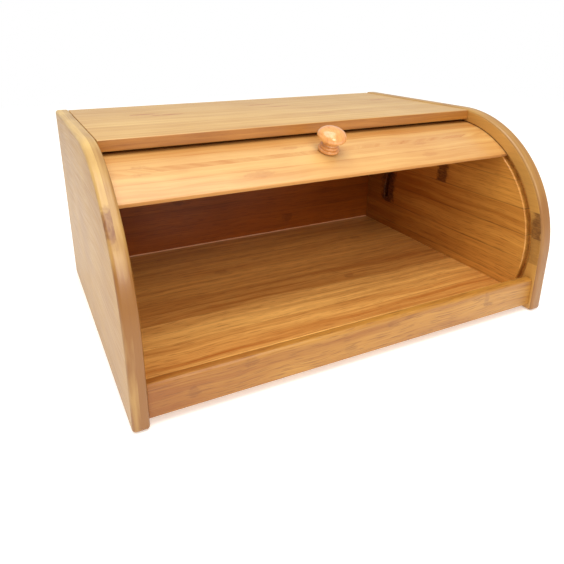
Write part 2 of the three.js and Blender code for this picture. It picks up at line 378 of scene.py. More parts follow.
# ---- Side panels ----
# Two upright boards of strip bamboo with the strips lying front to back. The front is sawn to a
# quarter round, both faces are rounded over, and a router leaves the circular groove for the lid.

side_low, side_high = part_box("right_side_panel")
side_thickness = side_high.x - side_low.x
front_radius = 119.5 * MM
side_corner = 3.2 * MM
side_arris = 2.6 * MM
centre_y = side_low.y + front_radius
centre_z = side_high.z - front_radius

rim_width = 12 * MM
groove_outer = front_radius - rim_width
groove_width = 5.5 * MM
groove_depth = 6 * MM
groove_lip = 0.7 * MM
groove_from, groove_to = -3.0, 197.8
bore_clearance = 0.3 * MM

side_strip = 24.0
side_first_seam = 22.0
outer_tones = ("b88b38", "9e6d24", "8c602a", "825626", "784e24")
# A paler band round the front from just inside the groove: the band's paler tone, and painted light on the
# groove's floor.
pale_band_tone = "ba8c46"
pale_band_radius = groove_outer - 4 * MM
inner_face_tones = ("eeb052", "a6621a", "7a3e0c", "4e2408", "4c1e08")
rim_tones = {
    "left": ("e2bf72", "88581c", "8a5222", "7a4620", "6c360e"),
    "right": ("b89046", "8c5c22", "80501c", "70441a", "6e3c18"),
}
# Dark wood on the inner faces, along Y and up Z: culm nodes, each in its own strip. The two marks
# at Y 81 mm on the right face are painted shade: the shadow in the rear end of the groove.
face_marks_and_shade = {
    "left": [(-60, 34, 7, 30, 0.6), (-60, 58, 7, 30, 0.6), (92, 106, 7, 30, 0.7)],
    "right": [
        (-132, 58, 10, 30, 0.4),
        (-132, 82, 9, 30, 0.8),
        # Painted shade, not wood: the shadowed rear end of the groove.
        (81, 58, 15, 30, 1.0),
        (81, 82, 15, 30, 1.0),
        (-8, 106, 9.5, 30, 0.9),
    ],
}
# On the rim they lie round the front edge from the bottom, and out from the inner face.
rim_marks = {"left": [(143, 9, 15, 7, 0.85)], "right": [(262, 4, 12, 7, 0.3)]}


def arc(y, z, radius, start, end, steps):
    """Points of an arc in the YZ plane, its angles in degrees from +Y up through +Z."""
    angles = np.radians(np.linspace(start, end, steps + 1))
    return np.column_stack((y + radius * np.cos(angles), z + radius * np.sin(angles)))


def slab(name, outline, low_x, high_x, arris, steps=5):
    """A board with an outline in the YZ plane, given as a function of how far in it is drawn."""
    turns = np.radians(np.linspace(0, 90, steps + 1))
    edge = [(arris * (1 - math.cos(t)), arris * (1 - math.sin(t))) for t in turns]
    rings = [(low_x + rise, inset) for rise, inset in edge]
    rings += [(high_x - rise, inset) for rise, inset in reversed(edge)]
    shape = bmesh.new()
    loops = [[shape.verts.new((x, y, z)) for y, z in outline(inset)] for x, inset in rings]
    for near, far in zip(loops, loops[1:]):
        for i in range(len(near)):
            j = (i + 1) % len(near)
            shape.faces.new((near[i], near[j], far[j], far[i])).smooth = True
    shape.faces.new(reversed(loops[0]))
    shape.faces.new(loops[-1])
    bmesh.ops.remove_doubles(shape, verts=shape.verts, dist=1e-7)
    bmesh.ops.recalc_face_normals(shape, faces=shape.faces)
    mesh = bpy.data.meshes.new(name)
    shape.to_mesh(mesh)
    shape.free()
    return mesh


def side_outline(inset):
    """The side panel's outline, drawn in from its edge."""
    corner = side_corner - inset
    ends = [
        (side_low.y + side_corner, side_low.z + side_corner, 180),
        (side_high.y - side_corner, side_low.z + side_corner, 270),
        (side_high.y - side_corner, side_high.z - side_corner, 0),
    ]
    corners = [arc(y, z, corner, start, start + 90, 6) for y, z, start in ends]
    return np.vstack((*corners, arc(centre_y, centre_z, front_radius - inset, 90, 180, 60)))


def groove_cutter(inner_x, outward):
    """The wood that the router takes out, with its lips eased, for the panel's face at inner_x."""
    inner = groove_outer - groove_width
    section = [
        (inner, groove_depth),
        (inner, groove_lip),
        (inner - groove_lip, 0),
        (inner - groove_lip, -MM),
        (groove_outer + groove_lip, -MM),
        (groove_outer + groove_lip, 0),
        (groove_outer, groove_lip),
        (groove_outer, groove_depth),
    ]
    shape = bmesh.new()
    loops = []
    for angle in np.radians(np.linspace(groove_from, groove_to, 121)):
        ring = []
        for radius, into in section:
            y = centre_y + radius * math.cos(angle)
            z = centre_z + radius * math.sin(angle)
            ring.append(shape.verts.new((inner_x + outward * into, y, z)))
        loops.append(ring)
    for near, far in zip(loops, loops[1:]):
        for i in range(len(near)):
            j = (i + 1) % len(near)
            shape.faces.new((near[i], near[j], far[j], far[i])).smooth = True
    shape.faces.new(reversed(loops[0]))
    shape.faces.new(loops[-1])
    bmesh.ops.recalc_face_normals(shape, faces=shape.faces)
    mesh = bpy.data.meshes.new("groove_cutter")
    shape.to_mesh(mesh)
    shape.free()
    return new_object("groove_cutter", mesh)


def bore_cutter(words):
    """A drill's path round every dowel whose name holds one of the words."""
    shape = bmesh.new()
    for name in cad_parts:
        if "_dowel_" in name and any(word in name for word in words):
            low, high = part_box(name)
            radius = (high.y - low.y) / 2 + bore_clearance
            length = high.x - low.x + 2 * bore_clearance
            turn = Matrix.Translation((low + high) / 2) @ Matrix.Rotation(math.pi / 2, 4, "Y")
            bmesh.ops.create_cone(
                shape,
                cap_ends=True,
                segments=24,
                radius1=radius,
                radius2=radius,
                depth=length,
                matrix=turn,
            )
    mesh = bpy.data.meshes.new("bore_cutter")
    shape.to_mesh(mesh)
    shape.free()
    return new_object("bore_cutter", mesh)


def settled(source, name, material):
    """The piece as its modifiers leave it, as a plain mesh at the origin."""
    shown = source.evaluated_get(bpy.context.evaluated_depsgraph_get())
    mesh = bpy.data.meshes.new_from_object(shown)
    bpy.data.objects.remove(source)
    mesh.set_sharp_from_angle(angle=math.radians(32))
    return new_object(name, mesh, material)


def cut_out(source, cutters, name, material):
    """The piece with the cutters' shapes taken out of it."""
    for cutter in cutters:
        cut = source.modifiers.new("cut", "BOOLEAN")
        cut.solver = "EXACT"
        cut.object = cutter
    piece = settled(source, name, material)
    for cutter in cutters:
        bpy.data.objects.remove(cutter)
    return piece


def round_the_edge(y, z):
    """How far a place on the edge lies from the bottom of the front, round the quarter circle."""
    if y > centre_y:
        return centre_z + front_radius * math.pi / 2 + y - centre_y
    if z < centre_z:
        return z
    return centre_z + front_radius * (math.pi - math.atan2(z - centre_z, y - centre_y))


def dress_panel(panel, outer_x, inner_x):
    """Gives faces their slots, 0 for the outer face, 1 for the inner and the groove, 2 for the rim."""
    mesh = panel.data
    way = 1 if outer_x > inner_x else -1
    for face in mesh.polygons:
        spot = face.center
        depth = way * (spot.x - inner_x)
        reach_out = math.hypot(spot.y - centre_y, spot.z - centre_z)
        in_groove = depth < groove_depth + 0.1 * MM and reach_out < groove_outer + groove_lip
        if way * face.normal.x > 0.9 and depth > side_thickness - 0.1 * MM:
            face.material_index = 0
        elif way * face.normal.x < -0.9 or (in_groove and spot.z < side_high.z - side_arris):
            face.material_index = 1
        else:
            face.material_index = 2
    kept = mesh.attributes.new("rim", "FLOAT_VECTOR", "POINT")
    for vert, place in zip(mesh.vertices, kept.data):
        place.vector = (round_the_edge(vert.co.y, vert.co.z), abs(vert.co.x - inner_x), vert.co.z * 0.1)


for side, outward in (("left", -1), ("right", 1)):
    outer_face = bamboo(
        f"bamboo_sanded_{side}_outer_face",
        "YZX",
        side_strip,
        outer_tones,
        2.0 if side == "left" else 5.0,
        shares=(0.3, 0.1, 0.1, 0.5),
        first_seam=side_first_seam,
        seam_depth=0.12,
        dash_depth=0.12,
        gloss=0.1,
    )
    inner_face = bamboo(
        f"bamboo_pressed_{side}_inner_face",
        "YZX",
        side_strip,
        inner_face_tones,
        7.0 if side == "left" else 3.0,
        shares=(0.4, 0.3, 0.2, 0.1),
        first_seam=side_first_seam,
        seam_depth=0.5,
        dash_depth=0.35,
        # Paler band with painted light on the groove's floor.
        pale_band_and_lit_groove=(centre_y / MM, centre_z / MM, pale_band_radius / MM, pale_band_tone),
        marks=face_marks_and_shade[side],
        # Painted shade: the inner face darkens towards the back of the box.
        painted_shade_ramp=(-60, 90, 0.6),
    )
    rim = bamboo(
        f"bamboo_rounded_{side}_rim",
        "XYZ",
        6.0,
        rim_tones[side],
        17.0 if side == "left" else 19.0,
        shares=(0.3, 0.2, 0.05, 0.45),
        seam_depth=0.12,
        dash_depth=0.1,
        marks=rim_marks[side],
        # Painted shade: the rim darkens towards the bottom of the front edge.
        painted_shade_ramp=(220, 40, 0.6),
        place_name="rim",
        gloss=0.35,
    )
    low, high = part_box(f"{side}_side_panel")
    blank = new_object("blank", slab("blank", side_outline, low.x, high.x, side_arris))
    inner_x, outer_x = (high.x, low.x) if side == "left" else (low.x, high.x)
    cutters = [groove_cutter(inner_x, outward), bore_cutter([f"_{side}_"])]
    panel = cut_out(blank, cutters, f"{side}_side_panel_bamboo", outer_face)
    panel.data.materials.append(inner_face)
    panel.data.materials.append(rim)
    dress_panel(panel, outer_x, inner_x)
    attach(panel, "case")
    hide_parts(f"{side}_side_panel")


# ---- Boards between the side panels ----
# Single boards of the same strip bamboo, strips lying across the box, planed to thickness. Their
# long edges are eased by hand and their ends are glued to the side panels over blind dowels.


def board_outline(low, high, bottom_round, top_round):
    """A board's section as a function of how far in it is drawn."""

    def outline(inset):
        soft_bottom, soft_top = max(bottom_round - inset, 1e-5), max(top_round - inset, 1e-5)
        y = (low.y + inset, high.y - inset)
        z = (low.z + inset, high.z - inset)
        corners = (
            arc(y[0] + soft_bottom, z[0] + soft_bottom, soft_bottom, 180, 270, 5),
            arc(y[1] - soft_bottom, z[0] + soft_bottom, soft_bottom, 270, 360, 5),
            arc(y[1] - soft_top, z[1] - soft_top, soft_top, 0, 90, 5),
            arc(y[0] + soft_top, z[1] - soft_top, soft_top, 90, 180, 5),
        )
        return np.vstack(corners)

    return outline


end_arris = 0.15 * MM


def board(node, piece_name, dowels, material, slot, bottom_round, top_round, edge=None):
    """One board between the side panels, bored for its dowels, its front edge in its own material."""
    low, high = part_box(node)
    outline = board_outline(low, high, bottom_round, top_round)
    blank = new_object("blank", slab("blank", outline, low.x, high.x, end_arris, steps=2))
    piece = cut_out(blank, [bore_cutter([dowels])], piece_name, material)
    if edge:
        piece.data.materials.append(edge)
        for face in piece.data.polygons:
            at_front = face.center.y < low.y + 0.2 * MM
            face.material_index = int(face.normal.y < -0.8 and at_front)
    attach(piece, "case")
    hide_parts(node)
    return piece


top_bamboo = bamboo(
    "bamboo_sanded_top",
    "XYZ",
    21.0,
    ("d4b373", "ae8146", "a2743a", "8d612d", "a0603a"),
    11.0,
    shares=(0.45, 0.25, 0.1, 0.2),
    seam_depth=0.25,
    dash_depth=0.15,
    marks=[
        (-120, 76, 18, 3.5, 0.8),
        (-98, 66, 18, 3, 0.85),
        (8, 92, 18, 4, 0.8),
        (22, 74, 16, 3.5, 0.7),
        (150, 74, 18, 4, 0.75),
        (40, 10, 14, 3.5, 0.35),
    ],
    gloss=0.15,
)
top_edge = bamboo(
    "bamboo_planed_top_edge",
    "XZY",
    9.0,
    ("be8238", "8c541c", "703e14", "663610", "663614"),
    13.0,
    shares=(0.5, 0.0, 0.2, 0.3),
    first_seam=160.0,
    seam_depth=0.0,
    dash_depth=0.2,
    gloss=0.1,
)
board("top_board", "top_board_bamboo", "top_", top_bamboo, "top_bamboo", 0.8 * MM, 0.9 * MM, top_edge)

floor_bamboo = bamboo(
    "bamboo_pressed_floor",
    "XYZ",
    17.0,
    ("f8c26c", "a8611e", "80400e", "743a0e", "7c401a"),
    23.0,
    shares=(0.5, 0.4, 0.15, 0.0),
    seam_depth=0.2,
    dash_depth=0.4,
    marks=[(-99, -110, 9, 6, 0.4), (54, -24, 8, 6, 0.35), (-60, 40, 9, 6, 0.3), (120, 62, 8, 6, 0.3)],
)
board("floor_board", "floor_board_bamboo", "floor_", floor_bamboo, "inner_bamboo", 0.6 * MM, 0.8 * MM)

# Painted shade: the back's inner face is drawn much darker than its outer face, the shade at the back of
# the box painted into the wood's tone.
back_inner_shaded_bamboo = bamboo(
    "bamboo_pressed_back_painted_shade",
    "XZY",
    20.0,
    ("b86418", "86400a", "642c08", "4c2408", "4c2408"),
    31.0,
    shares=(0.35, 0.25, 0.25, 0.15),
    seam_depth=0.25,
    dash_depth=0.4,
    marks=[(-80, 70, 8, 7, 0.4), (60, 30, 8, 7, 0.4)],
)
back = board("back_panel", "back_panel_bamboo", "back_", back_inner_shaded_bamboo, "inner_bamboo", 0.8 * MM, 0.6 * MM)
back_outer = bamboo(
    "bamboo_sanded_back_outer_face",
    "XZY",
    20.0,
    ("c89850", "a46e30", "8c602a", "825626", "784e24"),
    37.0,
    shares=(0.4, 0.25, 0.1, 0.25),
    seam_depth=0.2,
    dash_depth=0.2,
    marks=[(-110, 60, 9, 6, 0.4), (90, 118, 9, 6, 0.35), (40, 38, 9, 6, 0.3)],
    gloss=0.1,
)
back.data.materials.append(back_outer)
for face in back.data.polygons:
    face.material_index = int(face.normal.y > -0.8)


# ---- Front rail ----
# A narrow bar of strip bamboo that keeps crumbs in. Its top edges are rounded for the hand.

rail_bamboo = bamboo(
    "bamboo_planed_rail",
    "XZY",
    30.0,
    ("be8c3a", "90561a", "6c3c12", "58300d", "643412"),
    43.0,
    shares=(0.45, 0.0, 0.3, 0.25),
    first_seam=4.0,
    seam_depth=0.0,
    dash_depth=0.5,
    gloss=0.08,
    marks=[
        (-148, 17, 5, 6, 0.3),
        (-105, 28, 8, 4, 0.3),
        (-20, 14, 7, 4, 0.2),
        (19, 27, 6, 4, 0.25),
        (123, 22, 3.5, 9, 0.3),
    ],
    # Painted shade: the rail darkens towards its left end.
    painted_shade_ramp=(-60, -180, 0.55),
)
board("front_rail", "front_rail_bamboo", "rail_", rail_bamboo, "rail_bamboo", 0.9 * MM, 2.4 * MM)


# ---- Dowels ----
# Birch pegs with pressed flutes that let the glue spread, hidden in the ends of the boards.

dowel_names = sorted(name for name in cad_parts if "_dowel_" in name)
flute_count = 12
flute_depth = 0.18 * MM
dowel_chamfer = 0.5 * MM


def tree_input(tree, name, kind, default):
    """A named input of a Geometry Nodes tree."""
    socket = tree.interface.new_socket(name, in_out="INPUT", socket_type=kind)
    if kind != "NodeSocketGeometry":
        socket.default_value = default
    return socket


def run_tree(tree, name, values, material, points=()):
    """Runs a tree on some loose points and keeps what it makes as a plain mesh."""
    mesh = bpy.data.meshes.new(name)
    mesh.from_pydata([tuple(p) for p in points], [], [])
    carrier = new_object("carrier", mesh)
    modifier = carrier.modifiers.new("make", "NODES")
    modifier.node_group = tree
    for item in tree.interface.items_tree:
        if item.in_out == "INPUT" and item.name in values:
            modifier[item.identifier] = values[item.name]
    return settled(carrier, name, material)


dowel_wood, tree = new_material("birch_pressed_dowel")
place = add(tree, "ShaderNodeTexCoord").outputs["Object"]
stretched = add(
    tree, "ShaderNodeVectorMath", {0: place, 1: (1 / 0.018, 1 / 0.0009, 1 / 0.0009)}, operation="MULTIPLY"
)
grain = add(tree, "ShaderNodeTexNoise", {"Vector": stretched, "Scale": 1.0, "Detail": 3.0})
shade = add(
    tree,
    "ShaderNodeMix",
    {FACTOR: grain, FIRST: linear("e6cda3"), SECOND: linear("c29a64")},
    data_type="RGBA",
)
bump = add(tree, "ShaderNodeBump", {"Height": grain, "Strength": 0.4, "Distance": 0.1 * MM})
shader = add(
    tree,
    "ShaderNodeBsdfPrincipled",
    {"Base Color": shade.outputs[2], "Roughness": 0.72, "Normal": bump},
)
add(tree, "ShaderNodeOutputMaterial", {"Surface": shader})

dowel_tree = bpy.data.node_groups.new("fluted_dowels", "GeometryNodeTree")
tree_input(dowel_tree, "Places", "NodeSocketGeometry", None)
for label, start in (("Length", 0.02), ("Radius", 0.002), ("Chamfer", 0.0005), ("Flute", 0.0002)):
    tree_input(dowel_tree, label, "NodeSocketFloat", start)
tree_input(dowel_tree, "Flutes", "NodeSocketInt", 12)
tree_input(dowel_tree, "Wood", "NodeSocketMaterial", None)
dowel_tree.interface.new_socket("Dowels", in_out="OUTPUT", socket_type="NodeSocketGeometry")

given = add(dowel_tree, "NodeGroupInput").outputs
half = add(dowel_tree, "ShaderNodeMath", {0: given["Length"], 1: 0.5}, operation="MULTIPLY")
minus_half = add(dowel_tree, "ShaderNodeMath", {0: half, 1: -1.0}, operation="MULTIPLY")
low_end = add(dowel_tree, "ShaderNodeCombineXYZ", {0: minus_half})
high_end = add(dowel_tree, "ShaderNodeCombineXYZ", {0: half})
axis = add(dowel_tree, "GeometryNodeCurvePrimitiveLine", {"Start": low_end, "End": high_end})
axis = add(dowel_tree, "GeometryNodeResampleCurve", {"Curve": axis, "Count": 9})
# The first and last steps are the chamfers: the radius is drawn in at both ends.
share = add(dowel_tree, "GeometryNodeSplineParameter").outputs["Factor"]
at_end = add(dowel_tree, "ShaderNodeMath", {0: share, 1: 0.5}, operation="SUBTRACT")
at_end = add(dowel_tree, "ShaderNodeMath", {0: at_end}, operation="ABSOLUTE")
at_end = add(dowel_tree, "ShaderNodeMath", {0: at_end, 1: 0.499}, operation="GREATER_THAN")
slimmer = add(dowel_tree, "ShaderNodeMath", {0: given["Chamfer"], 1: at_end}, operation="MULTIPLY")
thick = add(dowel_tree, "ShaderNodeMath", {0: given["Radius"], 1: slimmer}, operation="SUBTRACT")
around = add(dowel_tree, "ShaderNodeMath", {0: given["Flutes"], 1: 4.0}, operation="MULTIPLY")
ring = add(dowel_tree, "GeometryNodeCurvePrimitiveCircle", {"Resolution": around, "Radius": 1.0})
step = add(dowel_tree, "GeometryNodeInputIndex")
wave = add(dowel_tree, "ShaderNodeMath", {0: step, 1: math.pi / 2}, operation="MULTIPLY")
wave = add(dowel_tree, "ShaderNodeMath", {0: wave}, operation="COSINE")
ratio = add(dowel_tree, "ShaderNodeMath", {0: given["Flute"], 1: given["Radius"]}, operation="DIVIDE")
wave = add(dowel_tree, "ShaderNodeMath", {0: wave, 1: -1.0}, operation="ADD")
wave = add(dowel_tree, "ShaderNodeMath", {0: wave, 1: ratio}, operation="MULTIPLY")
wave = add(dowel_tree, "ShaderNodeMath", {0: wave, 1: 0.5, 2: 1.0}, operation="MULTIPLY_ADD")
spot = add(dowel_tree, "GeometryNodeInputPosition")
spot = add(dowel_tree, "ShaderNodeVectorMath", {0: spot, 3: wave}, operation="SCALE")
ring = add(dowel_tree, "GeometryNodeSetPosition", {"Geometry": ring, "Position": spot})
peg = add(
    dowel_tree,
    "GeometryNodeCurveToMesh",
    {"Curve": axis, "Profile Curve": ring, "Scale": thick, "Fill Caps": True},
)
pegs = add(dowel_tree, "GeometryNodeInstanceOnPoints", {"Points": given["Places"], "Instance": peg})
solid = add(dowel_tree, "GeometryNodeRealizeInstances", {0: pegs})
solid = add(dowel_tree, "GeometryNodeSetMaterial", {"Geometry": solid, "Material": given["Wood"]})
add(dowel_tree, "NodeGroupOutput", {0: solid})

dowel_boxes = [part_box(name) for name in dowel_names]
dowel_sizes = {
    "Length": dowel_boxes[0][1].x - dowel_boxes[0][0].x,
    "Radius": (dowel_boxes[0][1].y - dowel_boxes[0][0].y) / 2,
    "Chamfer": dowel_chamfer,
    "Flute": flute_depth,
    "Flutes": flute_count,
    "Wood": dowel_wood,
}
dowel_places = [(low + high) / 2 for low, high in dowel_boxes]
dowels = run_tree(dowel_tree, "birch_dowels", dowel_sizes, dowel_wood, dowel_places)
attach(dowels, "case")
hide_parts(*dowel_names)


# ---- Pale bead, painted light ----
# A thin pale bead along the foot of the back panel, paler than the wood round it: painted light,
# for the thin line of light where the back panel meets the floor.

bead_tree = bpy.data.node_groups.new("laid_bead", "GeometryNodeTree")
tree_input(bead_tree, "Start", "NodeSocketVector", (0, 0, 0))
tree_input(bead_tree, "End", "NodeSocketVector", (0.1, 0, 0))
tree_input(bead_tree, "Radius", "NodeSocketFloat", 0.001)
tree_input(bead_tree, "Light_paint", "NodeSocketMaterial", None)
bead_tree.interface.new_socket("Bead", in_out="OUTPUT", socket_type="NodeSocketGeometry")
given = add(bead_tree, "NodeGroupInput").outputs
run = add(bead_tree, "GeometryNodeCurvePrimitiveLine", {"Start": given["Start"], "End": given["End"]})
run = add(bead_tree, "GeometryNodeResampleCurve", {"Curve": run, "Count": 160})
lump = add(bead_tree, "GeometryNodeInputPosition")
lump = add(bead_tree, "ShaderNodeTexNoise", {"Vector": lump, "Scale": 70.0, "Detail": 1.0})
lump = add(
    bead_tree, "ShaderNodeMapRange", {"Value": lump, "From Min": 0.3, "From Max": 0.7, "To Min": 0.6}
)
lump = add(bead_tree, "ShaderNodeMath", {0: lump, 1: given["Radius"]}, operation="MULTIPLY")
around = add(bead_tree, "GeometryNodeCurvePrimitiveCircle", {"Resolution": 10, "Radius": 1.0})
bead = add(
    bead_tree,
    "GeometryNodeCurveToMesh",
    {"Curve": run, "Profile Curve": around, "Scale": lump, "Fill Caps": True},
)
bead = add(bead_tree, "GeometryNodeRealizeInstances", {0: bead})
bead = add(bead_tree, "GeometryNodeSetMaterial", {"Geometry": bead, "Material": given["Light_paint"]})
add(bead_tree, "NodeGroupOutput", {0: bead})

# Painted light: the bead's pale colour stands for the thin line of light at the foot of the back panel.
bead_light_paint, tree = new_material("pale_bead_painted_light")
bead_light_shader = {"Base Color": linear("f0b88a"), "Roughness": 0.4, "Coat Weight": 0.3}
bead_light_shader = add(tree, "ShaderNodeBsdfPrincipled", bead_light_shader)
add(tree, "ShaderNodeOutputMaterial", {"Surface": bead_light_shader})
back_low, back_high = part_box("back_panel")
floor_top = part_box("floor_board")[1].z
bead_off_corner = 0.2 * MM
bead_end_gap = 1 * MM
bead_y, bead_z = back_low.y - bead_off_corner, floor_top + bead_off_corner
bead_sizes = {
    "Start": (back_low.x + bead_end_gap, bead_y, bead_z),
    "End": (back_high.x - bead_end_gap, bead_y, bead_z),
    "Radius": 1.1 * MM,
    "Light_paint": bead_light_paint,
}
bead = run_tree(bead_tree, "painted_light_bead", bead_sizes, bead_light_paint)
for face in bead.data.polygons:
    face.use_smooth = True
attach(bead, "case")


# ---- Roll top lid ----
# A thin panel of bamboo strips glued up in a curved former, sanded fair on both faces. Its ends
# run in the grooves. The strips lie across the box, so the curve shows their tones one by one.

lid_low, lid_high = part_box("lid_panel")
lid_thickness = 4.5 * MM
lid_clearance = 0.5 * MM
lid_outer = groove_outer - lid_clearance
lid_front_angle, lid_rear_angle = 128.0, 17.13
lid_arris = 0.6 * MM
lid_steps = 96

# Laid flat, its places run across the box and from its middle towards its rear edge.
lid_bamboo = bamboo(
    "bamboo_bent_lid",
    "XYZ",
    28.5,
    ("d3ab6a", "b07230", "a2662c", "a2601e", "9c5c2a"),
    59.0,
    shares=(0.45, 0.3, 0.05, 0.2),
    first_seam=-87.4,
    seam_depth=0.4,
    dash_depth=0.12,
    marks=[
        (-157, -73, 11, 7, 0.4),
        (-126, -75, 9, 5, 0.25),
        (-72, -92, 16, 4, 0.35),
        (-30, -64, 11, 3, 0.3),
        (94, -77, 12, 3, 0.3),
        (95, -93, 11, 3, 0.25),
    ],
    place_name="flat",
    gloss=0.4,
)
lid_edge = bamboo(
    "bamboo_planed_lid_edge",
    "XYZ",
    19.0,
    ("d8a462", "c08648", "a8703a", "9a6230", "9a6238"),
    61.0,
    shares=(0.5, 0.0, 0.2, 0.3),
    seam_depth=0.0,
    dash_depth=0.1,
)

lid_tree = bpy.data.node_groups.new("bent_panel", "GeometryNodeTree")
lid_labels = ("Length", "Outer radius", "Thickness", "Front angle", "Rear angle", "Centre Y", "Centre Z")
for label in lid_labels:
    tree_input(lid_tree, label, "NodeSocketFloat", 0.1)
tree_input(lid_tree, "Steps", "NodeSocketInt", 48)
tree_input(lid_tree, "Wood", "NodeSocketMaterial", None)
lid_tree.interface.new_socket("Panel", in_out="OUTPUT", socket_type="NodeSocketGeometry")

given = add(lid_tree, "NodeGroupInput").outputs
span = add(
    lid_tree, "ShaderNodeMath", {0: given["Front angle"], 1: given["Rear angle"]}, operation="SUBTRACT"
)
bend_length = add(lid_tree, "ShaderNodeMath", {0: span, 1: given["Outer radius"]}, operation="MULTIPLY")
size = add(lid_tree, "ShaderNodeCombineXYZ", {0: given["Length"], 1: bend_length, 2: given["Thickness"]})
flat = add(lid_tree, "GeometryNodeMeshCube", {"Size": size, "Vertices Y": given["Steps"]})
spot = add(lid_tree, "GeometryNodeInputPosition")
kept = add(
    lid_tree,
    "GeometryNodeStoreNamedAttribute",
    {"Geometry": flat, "Name": "flat", "Value": spot},
    data_type="FLOAT_VECTOR",
    domain="POINT",
)
split = add(lid_tree, "ShaderNodeSeparateXYZ", {0: spot})
# Laid flat, +Y is towards the lid's rear edge and +Z is its outer face. Bending turns Y to an angle.
middle = add(
    lid_tree, "ShaderNodeMath", {0: given["Front angle"], 1: given["Rear angle"]}, operation="ADD"
)
middle = add(lid_tree, "ShaderNodeMath", {0: middle, 1: 0.5}, operation="MULTIPLY")
swing = add(lid_tree, "ShaderNodeMath", {0: split.outputs[1], 1: given["Outer radius"]}, operation="DIVIDE")
angle = add(lid_tree, "ShaderNodeMath", {0: middle, 1: swing}, operation="SUBTRACT")
half_thick = add(lid_tree, "ShaderNodeMath", {0: given["Thickness"], 1: -0.5}, operation="MULTIPLY")
radius = add(lid_tree, "ShaderNodeMath", {0: given["Outer radius"], 1: half_thick}, operation="ADD")
radius = add(lid_tree, "ShaderNodeMath", {0: radius, 1: split.outputs[2]}, operation="ADD")
cosine = add(lid_tree, "ShaderNodeMath", {0: angle}, operation="COSINE")
sine = add(lid_tree, "ShaderNodeMath", {0: angle}, operation="SINE")
bent_y = add(
    lid_tree, "ShaderNodeMath", {0: radius, 1: cosine, 2: given["Centre Y"]}, operation="MULTIPLY_ADD"
)
bent_z = add(
    lid_tree, "ShaderNodeMath", {0: radius, 1: sine, 2: given["Centre Z"]}, operation="MULTIPLY_ADD"
)
bent = add(lid_tree, "ShaderNodeCombineXYZ", {0: split.outputs[0], 1: bent_y, 2: bent_z})
panel = add(lid_tree, "GeometryNodeSetPosition", {"Geometry": kept, "Position": bent})
panel = add(lid_tree, "GeometryNodeRealizeInstances", {0: panel})
panel = add(lid_tree, "GeometryNodeSetMaterial", {"Geometry": panel, "Material": given["Wood"]})
add(lid_tree, "NodeGroupOutput", {0: panel})

lid_sizes = {
    "Length": lid_high.x - lid_low.x,
    "Outer radius": lid_outer,
    "Thickness": lid_thickness,
    "Front angle": math.radians(lid_front_angle),
    "Rear angle": math.radians(lid_rear_angle),
    "Centre Y": centre_y,
    "Centre Z": centre_z,
    "Steps": lid_steps,
    "Wood": lid_bamboo,
}
bent_lid = run_tree(lid_tree, "bent_lid", lid_sizes, lid_bamboo)
ease = bent_lid.modifiers.new("ease", "BEVEL")
ease.width = lid_arris
ease.segments = 3
ease.limit_method = "ANGLE"
ease.angle_limit = math.radians(40)

screw_radius = 2 * MM
knob_angle = math.radians(111.78)
knob_axis = Vector((0, math.cos(knob_angle), math.sin(knob_angle)))
lid_centre = Vector((0, centre_y, centre_z))
on_knob_axis = Matrix.Rotation(knob_angle - math.pi / 2, 4, "X")

hole = bmesh.new()
hole_place = Matrix.Translation(lid_centre + knob_axis * (lid_outer - lid_thickness / 2)) @ on_knob_axis
bmesh.ops.create_cone(
    hole,
    cap_ends=True,
    segments=32,
    radius1=screw_radius + 0.4 * MM,
    radius2=screw_radius + 0.4 * MM,
    depth=4 * lid_thickness,
    matrix=hole_place,
)
hole_mesh = bpy.data.meshes.new("screw_hole")
hole.to_mesh(hole_mesh)
hole.free()
lid = cut_out(bent_lid, [new_object("screw_hole", hole_mesh)], "lid_panel_bamboo", lid_bamboo)
lid.data.materials.append(lid_edge)
front_edge = math.radians(lid_front_angle) - 0.3 * MM / lid_outer
for face in lid.data.polygons:
    face.use_smooth = True
    turn = math.atan2(face.center.z - centre_z, face.center.y - centre_y)
    face.material_index = int(turn > front_edge)
lid.data.set_sharp_from_angle(angle=math.radians(25))
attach(lid, "lid")
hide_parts("lid_panel")


# ---- Knob ----
# Turned from one piece of close-grained hardwood and dipped in gloss lacquer: a base with a bead,
# a narrow neck and a domed head.

knob_wood, tree = new_material("maple_turned_gloss_lacquer")
place = add(tree, "ShaderNodeTexCoord").outputs["Object"]
centred = add(
    tree, "ShaderNodeVectorMath", {0: place, 1: tuple(lid_centre)}, operation="SUBTRACT"
)
upright = add(
    tree,
    "ShaderNodeMapping",
    {"Vector": centred, "Rotation": (math.pi / 2 - knob_angle, 0, 0), "Scale": (1000, 1000, 1000)},
)
rings = add(
    tree, "ShaderNodeVectorMath", {0: upright, 1: (1 / 1.3, 1 / 6.0, 1 / 14.0)}, operation="MULTIPLY"
)
grain = add(
    tree, "ShaderNodeTexNoise", {"Vector": rings, "Scale": 1.0, "Detail": 3.0, "Roughness": 0.55}
)
flow = add(tree, "ShaderNodeMapRange", {"Value": grain, "From Min": 0.3, "From Max": 0.72})
shade = add(
    tree,
    "ShaderNodeMix",
    {FACTOR: flow, FIRST: linear("e2a45a"), SECOND: linear("c87e3c")},
    data_type="RGBA",
)
shader = add(
    tree,
    "ShaderNodeBsdfPrincipled",
    {
        "Base Color": shade.outputs[2],
        "Roughness": 0.38,
        "Coat Weight": 1.0,
        "Coat Roughness": 0.08,
        "Coat IOR": 1.5,
    },
)
add(tree, "ShaderNodeOutputMaterial", {"Surface": shader})


def curve_points(start, handles, end, steps):
    """A cubic Bezier from start to end, without its first point."""
    shares = np.linspace(0, 1, steps + 1)[1:, None]
    first, second = (np.array(h) for h in handles)
    rest = 1 - shares
    return list(
        rest**3 * np.array(start)
        + 3 * rest**2 * shares * first
        + 3 * rest * shares**2 * second
        + shares**3 * np.array(end)
    )


